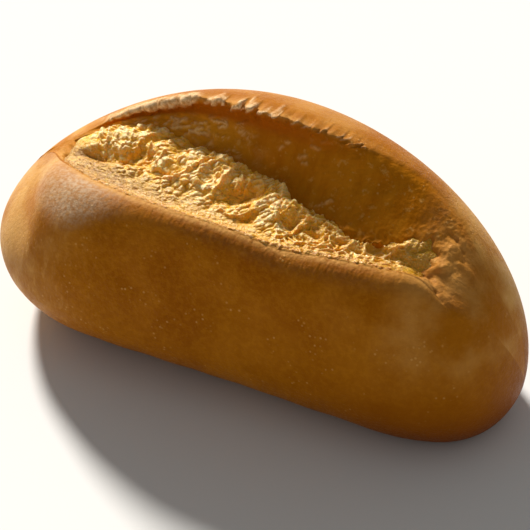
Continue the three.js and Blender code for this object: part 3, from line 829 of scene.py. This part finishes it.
def torn_skin(x, across, seed):
    """Small torn lumps and folds, from about -1 to 1, for the lips of the slash."""
    bend = dough_noise(x / 2, across / 2, seed + 30)
    folds = ridge_noise((x + bend) / 1.8, (across + bend) / 1.1, seed + 31) - 0.5
    return 0.7 * folds + 0.6 * dough_noise(x / 0.9 + bend, across / 0.8, seed + 32)


def crumb_relief(x, y, across, part, relief):
    """Height of the torn slash, the share of the lumps, and masks for crumb and wall."""
    seed, web, torn, line = relief.seed, relief.web_rise / MM, torn_part(x), wall_line(x, relief.seed)

    def swirl(wide, high, draw, shift=0):
        return dough_noise(x / wide + shift, across / high, seed + draw)

    # Wide bends and small curls keep every pattern below off the grid.
    bend_u, bend_v = swirl(4, 4, 20), swirl(4, 4, 21, 9)
    curl_u, curl_v = swirl(1.3, 1.6, 22), swirl(1.3, 1.6, 23, 9)
    strokes, pocket, _ = stroke_rise(x + 0.6 * bend_u + 0.45 * curl_u, y + 0.6 * bend_v + 0.45 * curl_v)
    wall = step(part, line - 0.02, line + 0.04)
    floor = torn * (1 - wall)
    # The fibrous band along the near lip, and the open cells at the right.
    band_width = 9 - 5.5 * step(x, -6, 16)
    band = fall(across, band_width * 0.6, band_width * 1.2)
    cells = step(x, 8, 14) * fall(x, 40, 48) * (1 - 0.6 * band)
    # Knobs, folds and threads of the torn crumb; along and aside run with its grain.
    along = 0.82 * (x + 0.9 * bend_u) + 0.57 * (across + 0.8 * bend_v)
    aside = 0.82 * (across + 0.8 * bend_v) - 0.57 * (x + 0.9 * bend_u)
    near_knob, next_knob = bubble_noise((along + 0.3 * curl_u) / 2.6, (aside + 0.3 * curl_v) / 1.35, seed + 2)
    knob = dome(near_knob, 1.3) * (0.4 + 0.6 * step(next_knob - near_knob, 0, 0.3))
    near_fold, _ = bubble_noise((x - 0.6 * across + bend_u) / 4.4, (across + bend_v) / 5.5, seed + 15)
    fold = dome(near_fold, 1.25)
    thread = ridge_noise((along + 0.5 * curl_u) / 2, (aside + 0.4 * curl_v) / 0.62, seed + 3, 1.8)
    pebble = dough_noise(x / 1 + bend_u, across / 1.1, seed + 4)
    fibre = ridge_noise((x + bend_v) / 3.4, (across + 0.7 * bend_u + 0.3 * curl_v) / 0.7, seed + 5)
    grain = np.where(x < -15, 0.6, 1)
    cell_u, cell_v = (x + 1.3 * bend_u) / 2.1 / grain, (across + 1.3 * bend_v) / 1.7 / grain
    first, second = bubble_noise(cell_u, cell_v, seed + 6)
    bubble = fall(second - first, 0.02, 0.3) - (1 - np.clip(1.7 * first, 0, 1))
    patchy = 0.35 + 0.65 * step(swirl(6, 4.5, 12, 5), -0.4, 0.3)
    calm = (1 - 0.8 * band) * (1 - 0.5 * pocket) * (1 - 0.6 * cells) * patchy * fall(x, 42, 50)
    fine = swirl(0.45, 0.6, 8)
    height = torn * strokes
    height += floor * (1 - 0.7 * band) * (1 - pocket) * 0.9 * (fold - 0.6)
    rough = 0.7 * (knob - 0.45) + 0.12 * (0.3 + knob) * (thread - 0.4) + 0.04 * pebble
    height += floor * calm * web * rough
    height += floor * cells * (1 - pocket) * web * 0.4 * (bubble + 0.3 * pebble)
    height += floor * band * relief.fibre_rise / MM * (fibre - 0.5 + 0.35 * pebble)
    height += relief.fine_rise / MM * (0.3 + 0.7 * torn) * (1 - wall) * (1 - 0.8 * pocket) * fine
    # The wall: streaks down it, broad waves, and thin flakes at the left.
    layer = ridge_noise((x + 2 * bend_u) / 3.2, (across + 0.6 * curl_v) / 0.75, seed + 10, 3.2)
    layer = layer * step(dough_noise(x / 4, across / 3 + 7, seed + 13), -0.1, 0.4)
    glinting_flakes = wall * fall(x, -14, 4) * torn * layer
    height += wall * (0.05 * swirl(1.2, 6, 9) + 0.3 * swirl(6, 5, 11, 3) + 0.12 * pebble + 0.4 * glinting_flakes)
    lumps = fall(part, WALL_START, WALL_START + 0.13) * step(part, 0.13, 0.28) * torn
    # Painted shade and highlight, partly the crumb's own tone: this mask, stored as "height", darkens the
    # crumb's colour in its hollows and pales it on its crests.
    shade = 0.5 + 0.25 * height / web + 0.4 * (knob - 0.45) * calm + 0.3 * (fold - 0.55) * (1 - band)
    shade += 0.25 * (thread - 0.4) * (0.2 + calm) + 0.3 * cells * bubble
    shade += 0.35 * band * (fibre - 0.5) + 0.1 * fine
    right_end = step(x, 38, 47)
    crumb_masks = {
        "height": shade,
        "band": band,
        "pocket": pocket,
        # Olive crumb: full at the right end, partly painted shade there, a little along the band, and more
        # from x 12 to 30.
        "baked": right_end + 0.15 * band + 0.45 * step(x, 12, 30) * (1 - right_end),
        "frayed": fall(across, 0.3, 2.8) * (0.35 + 0.65 * step(x, -45, -20)),
        "tan": band * (0.3 + 0.7 * fall(x, -40, -12)),
    }
    # Painted light: lit_wall makes the wall paler at the left; the flakes' mask carries painted glints.
    wall_masks = {"glinting_flakes": 0.6 * glinting_flakes, "lit_wall": wall * fall(x, -30, 0)}
    return height, lumps, crumb_masks, wall_masks


# Pieces


def slash_surface(scene, stations, count, end, lips):
    """The grid of the slash at the stations, with its relief and masks."""
    loaf, cut, relief = Loaf(scene.roll_sizes, stations), slash_at(stations), scene.crumb_relief
    grid = slash_grid(loaf, cut, lip_raggedness(loaf.x, relief), count, end, lips)
    return loaf, cut, grid, *crumb_relief(loaf.x, grid[0], grid[3], grid[2], relief)


def near_side(loaf, cut, base, lip, seed):
    """The near side from base to lip: points, plain height, and way down from the lip."""
    share = 1 - (1 - np.arange(NEAR_POINTS) / NEAR_POINTS) ** 1.5
    y, z = loaf.crust(base + (cut["near_lip"] - base) * share)
    x, gap = loaf.x, np.hypot(y - lip[0], z - lip[1])
    middle = fall(np.abs(x), 50, 66)
    scuff = torn_skin(x, gap, seed) * 0.16 * torn_part(x) * fall(gap, 2.5, 7)
    unevenness = 0.2 * dough_noise(x / 9, gap / 9, seed + 40) * step(gap, 1, 8)
    swell = shoulder_swell(gap, cut["shoulder"]) * step(x, -68, -52) * middle
    swell += scuff + unevenness * middle
    return push(lay_out(x, y, z), swell), z, gap


def open_slash(loaf, cut, grid, shape, marks, seed):
    """The crust over the slash: lips, wall and ends, and sunk where the crumb covers it."""
    x, (y, z, part, across), (height, lumps) = loaf.x, grid, shape
    torn = torn_part(x)
    line = wall_line(x, seed)
    shown = shown_part(x + 2.4 * dough_noise(x / 7, across / 2.6, seed + 60))
    sunk = step(across + near_lip_wander(x, seed), 0.2, 2.6) * fall(part, line - 0.035, line + 0.02)
    on_wall = torn * step(part, WALL_START - 0.03, WALL_START + 0.03)
    left_tip = fall(x, -50, -40)
    swell = lump_rise(x, y)
    ends = left_tip * height * (1 - on_wall) + (1 - left_tip) * 0.7 * stroke_rise(x, y)[0]
    ends = (1 - shown) * (ends + lumps * (1 - 0.7 * step(x, 42, 48)) * swell)
    ends += 0.1 * torn_skin(x, across, seed + 8) * step(x, 42, 48) * fall(x, 58, 64)
    at_lip = step(part, 0.74, 0.84) * (1 - 0.85 * cut["lip_soft"]) * step(x, -56, -44)
    torn_lip = 0.3 * torn_skin(x, across, seed + 5) * at_lip * torn * (1 - 0.7 * step(part, 0.93, 1))
    joined = torn * shown * step(part, line - 0.1, line - 0.05)
    calm_wall = 1 - 0.6 * step(x, 28, 42) * step(part, line + 0.02, line + 0.1)
    wall = (height * calm_wall + lumps * shown * swell) * np.maximum(on_wall, joined) * fall(part, 0.72, 0.8)
    offset = ends * fall(part, 0.8, 0.9) + marks * on_wall + torn_lip - CRUST_SUNK * shown * sunk + wall
    return push(lay_out(x, y, z), offset), on_wall


def far_side(loaf, cut, edge, rim):
    """The far side from rim to base: y, z with its curled flakes, distance from the rim, and the painted
    highlight on those flakes.
    """
    start = cut["far_lip"] - RIM_ROUND
    share = (np.arange(1, FAR_POINTS + 1) / FAR_POINTS) ** 1.3
    angle = start + (-edge - start) * share
    y, z = loaf.crust(angle)
    z = z + RIM_LIFT * cut["lip_rise"] * np.exp(-(((angle - start) / RIM_FADE) ** 2))
    gap = np.hypot(y - rim[0], z - rim[1])
    marks, mark = mark_rise(loaf.x, y, z)
    near_rim = torn_part(loaf.x) * fall(gap, 3, 8)
    return y, z + marks * near_rim, gap, np.sqrt(mark) * near_rim


def crust_strips(x, cut, part, near, far, slash):
    """Masks of the crust, each with a value for the near side, slash, far side and base."""
    (near_z, near_gap), (far_z, far_gap, far_lobe_highlight) = near, far
    on_wall, mark, wall_masks = slash
    torn, soft = torn_part(x), cut["lip_soft"]
    near_lip = 0.7 - 0.35 * step(x, 30, 48)
    near_edge = torn * fall(near_gap, 0.1, 1.8) * near_lip
    crest = 0.6 * (0.75 - 0.55 * soft) * step(part, 0.84, 0.93)
    slash_edge = torn * np.maximum(near_lip * fall(part, 0.1, 0.3), crest)
    pale_left = fall(x, -20, -8)
    far_edge = (0.5 + 0.35 * pale_left - 0.4 * soft) * torn * fall(far_gap, 0.2, 3 + 2 * pale_left)
    # Painted shadow: the face under the torn lip, where the lip shades it.
    under_lip = torn * step(part, 0.7, 0.78) * fall(part, 0.83, 0.9) * (1 - soft)
    # Golden skin: the left end, a little of the right end, and more along the far side.
    left_end, left_gold = fall(x, -58, -42), 0.8 * fall(x, -66, -34)
    right_gold = 0.45 * step(x, 40, 52) + 0.25 * step(x, 55, 64)
    near_gold = (0.05 * step(x, 15, 40) + right_gold) * step(near_z, 20, 46) + left_gold
    slash_gold = left_end * step(part, 0.02, 0.15) + right_gold * (step(x, 46, 54) + step(part, 0.8, 0.9))
    far_gold = 0.42 * fall(x, 40, 68) + 0.38 * fall(x, -72, -50) + 0.58 * left_end * fall(far_gap, 2, 9)
    # Painted sheen: a speckled band below the near lip, and the left tip.
    left_band, left_sheen = fall(x, -46, -22), 0.76 * fall(x, -74, -62)
    band_start = (0.5 + 0.6 * left_band) * cut["shoulder"]
    band = fall(near_gap, band_start, band_start + 0.8 * cut["shoulder"])
    sheen = 0.8 * np.maximum(band * (0.06 + 0.94 * left_band) * fall(x, 50, 62), 0.95 * fall(x, -73, -52))
    low_right = step(x, 5, 65)
    # Painted glints on the wall's flakes, fainter to the right.
    marked = mark * on_wall * fall(part, 0.74, 0.84)
    glinting_flakes = np.maximum(wall_masks["glinting_flakes"], marked) * (1 - 0.6 * step(x, -12, 4))
    # Painted highlight on the rim's flakes, weaker to the right.
    rim_highlight_share = 1 - 0.5 * step(x, 0, 14)
    return {
        "torn_edge": (near_edge, slash_edge, far_edge, 0),
        "shadow_face": (0, under_lip, 0, 0),
        "golden": (near_gold, slash_gold, far_gold + 1.5 * right_gold * step(far_z, 20, 40), left_gold),
        "sheen": (sheen, 0.08 * step(x, 40, 48) * fall(x, 58, 68) + left_sheen, left_sheen, left_sheen),
        "walled": (0, torn * step(part, 0.42, 0.55) * fall(part, 0.8, 0.92), 0, 0),
        "drawn": (fall(x, -62, -25), 0, 0, 0),
        # Painted shade: darker low on the right of the roll, along its base, and at the right end of the
        # slash.
        "painted_shade_dark": (
            low_right * fall(near_z, 4, 34),
            0.35 * step(x, 43, 50) * fall(x, 60, 68) * fall(part, 0.2, 0.45),
            step(x, 56, 72) * fall(far_z, 4, 34),
            low_right,
        ),
        "glinting_flakes": (0, glinting_flakes, 0, 0),
        "lobe_highlight": (0, np.sqrt(mark) * step(part, 0.79, 0.9) * rim_highlight_share, far_lobe_highlight * rim_highlight_share, 0),
        "lit_wall": (0, wall_masks["lit_wall"], 0, 0),
    }


class BREAD_OT_crust(bpy.types.Operator):
    """Bake the crust: the whole closed roll with its slash, browned wall and torn lip"""

    bl_idname = "bread.crust"
    bl_label = "Bake Crust"

    def execute(self, context):
        scene = context.scene
        sizes, seed = scene.roll_sizes, scene.crumb_relief.seed
        loaf, cut, grid, height, lumps, _, wall_masks = slash_surface(
            scene, stations_along(sizes), SLASH_POINTS, 1.0, CRUST_LIPS
        )
        x, edge, (y, z, part, _) = loaf.x, loaf.base_edge(), grid
        marks, mark = mark_rise(x, y, z)
        near, near_z, near_gap = near_side(loaf, cut, 180 + edge, (y[:, :1], z[:, :1]), seed)
        slash, on_wall = open_slash(loaf, cut, grid, (height, lumps), marks, seed)
        far_y, far_z, far_gap, far_lobe_highlight = far_side(loaf, cut, edge, (y[:, -1:], z[:, -1:]))
        share = np.arange(1, BASE_POINTS + 1) / (BASE_POINTS + 1)
        base = lay_out(x, *loaf.crust(-edge + (180 + edge - 360 + edge) * share))
        strips = near, slash, lay_out(x, far_y, far_z), base
        body = np.hstack(strips)
        rows, around = body.shape[:2]
        half, widest, tilt = sizes.length / 2, sizes.widest_height, sizes.widest_tilt
        tips = np.array([[-half, 0, widest - tilt], [half, 0, widest + tilt]]) / MM
        masks = crust_strips(
            x, cut, part, (near_z, near_gap), (far_z, far_gap, far_lobe_highlight), (on_wall, mark, wall_masks)
        )
        for name, row in masks.items():
            spread = [np.broadcast_to(value, strip.shape[:2]) for value, strip in zip(row, strips)]
            masks[name] = np.append(np.hstack(spread), [0, 0])
        faces = ring_faces(rows, around, rows * around, rows * around + 1)
        points = np.vstack([body.reshape(-1, 3), tips])
        piece = make_piece("crust", points, faces, masks, crust_finish(scene.bake_colours))
        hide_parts("roll")
        return {"FINISHED"}


class BREAD_OT_crumb(bpy.types.Operator):
    """Tear the crumb open: knobs, folds, bubbles and fibres on the floor of the slash"""

    bl_idname = "bread.crumb"
    bl_label = "Tear Crumb"

    def execute(self, context):
        scene = context.scene
        stations = np.linspace(*CRUMB_REACH, CRUMB_STATIONS)
        loaf, _, (y, z, part, across), height, lumps, masks, _ = slash_surface(
            scene, stations, CRUMB_POINTS, CRUMB_END, CRUMB_LIPS
        )
        x, seed = loaf.x, scene.crumb_relief.seed
        line = wall_line(x, seed)
        # The edges of the crumb tuck in under the near lip, the wall and both ends.
        tuck = 0.32 * fall(across + near_lip_wander(x, seed), -0.1, 1.1)
        tuck = tuck + 2.4 * step(part, line - 0.005, line + 0.09)
        ends = 1.2 * fall(x, -59, -53) + 1.2 * step(x, 43, 53)
        points = push(lay_out(x, y, z), height + lumps * lump_rise(x, y) - tuck - ends)
        # Painted shade: crumb turned from the key light, and crumb close under the wall where its shadow
        # falls, is coloured browner.
        facing = outward(points) @ (np.array(KEY_LIGHT_SIDE) / np.linalg.norm(KEY_LIGHT_SIDE))
        turned_from_light = fall(facing, -0.1, 0.24) * (1 - 0.5 * step(x, 18, 32))
        wall_shadow = 0.45 * step(part, line - 0.13, line - 0.02) * step(x, -18, -6)
        masks["painted_shade"] = np.maximum(turned_from_light, wall_shadow)
        low = points[:, [0, -1]].copy()
        low[:, :, 2] = points[:, :, 2].min(1)[:, None] - CRUMB_DEPTH
        low[:, :, 1] += (0.6, 1.5)
        everything = np.vstack([points.reshape(-1, 3), low.reshape(-1, 3)])
        rows, count = y.shape
        for name, mask in masks.items():
            masks[name] = np.append(np.broadcast_to(mask, y.shape), np.zeros(rows * 2))
        make_piece("crumb", everything, slab_faces(rows, count), masks, crumb_finish(scene.bake_colours))
        return {"FINISHED"}


def add_object(name, data, turn):
    """A camera or a light, turned so that it looks along the vector."""
    thing = bpy.data.objects.new(name, data)
    thing.rotation_mode = "QUATERNION"
    thing.rotation_quaternion = turn.to_track_quat("-Z", "Y")
    bpy.context.scene.collection.objects.link(thing)
    return thing


class BREAD_OT_studio(bpy.types.Operator):
    """Set the plain floor, the soft light from the back left, and the camera"""

    bl_idname = "bread.studio"
    bl_label = "Set Studio"

    def execute(self, context):
        scene = context.scene
        look = scene.studio_look
        bpy.ops.mesh.primitive_plane_add(size=6.0, location=(0, 0, -0.0002))
        floor = context.object
        floor.name = "floor"
        floor.data.materials.append(
            Finish("plain floor").shade({"Base Color": look.floor_colour, "Roughness": 0.9})
        )
        world = bpy.data.worlds.new("room")
        world.use_nodes = True
        sky = world.node_tree.nodes["Background"].inputs
        sky["Color"].default_value = (1.0, 0.99, 0.97, 1.0)
        sky["Strength"].default_value = look.fill_strength
        scene.world = world
        sun = bpy.data.lights.new("key light", "SUN")
        sun.energy = look.key_strength
        sun.angle = math.radians(9)
        sun.color = (1.0, 0.96, 0.9)
        key = add_object("key light", sun, Vector((0.6, -0.55, -0.58)))
        lens = bpy.data.cameras.new("camera")
        lens.lens = look.lens
        lens.sensor_width = 36.0
        lens.shift_x = 0.0057
        lens.shift_y = 0.0051
        lens.clip_start = 0.01
        a, e = look.azimuth, look.elevation
        back = Vector((math.sin(a) * math.cos(e), -math.cos(a) * math.cos(e), math.sin(e)))
        camera = add_object("camera", lens, -back)
        camera.location = Vector((0, MIDDLE_OFFSET, 25)) * MM + back * look.distance
        scene.camera = camera
        scene.view_settings.view_transform = "Standard"
        return {"FINISHED"}


class BREAD_PT_panel(bpy.types.Panel):
    """The roll's steps in the sidebar"""

    bl_label = "Slashed Bread Roll"
    bl_idname = "BREAD_PT_panel"
    bl_space_type = "VIEW_3D"
    bl_region_type = "UI"
    bl_category = "Bread"

    def draw(self, context):
        for maker in MAKERS:
            self.layout.operator(maker.bl_idname)


MAKERS = (BREAD_OT_crust, BREAD_OT_crumb, BREAD_OT_studio)
GROUPS = {
    "roll_sizes": RollSizes,
    "crumb_relief": CrumbRelief,
    "bake_colours": BakeColours,
    "studio_look": StudioLook,
}


def register():
    for name, group in GROUPS.items():
        bpy.utils.register_class(group)
        setattr(bpy.types.Scene, name, PointerProperty(type=group))
    for part in (*MAKERS, BREAD_PT_panel):
        bpy.utils.register_class(part)


def unregister():
    for part in reversed((*MAKERS, BREAD_PT_panel)):
        bpy.utils.unregister_class(part)
    for name, group in GROUPS.items():
        delattr(bpy.types.Scene, name)
        bpy.utils.unregister_class(group)


def main():
    register()
    bpy.ops.bread.crust()
    bpy.ops.bread.crumb()
    bpy.ops.bread.studio()


if __name__ == "__main__":
    main()
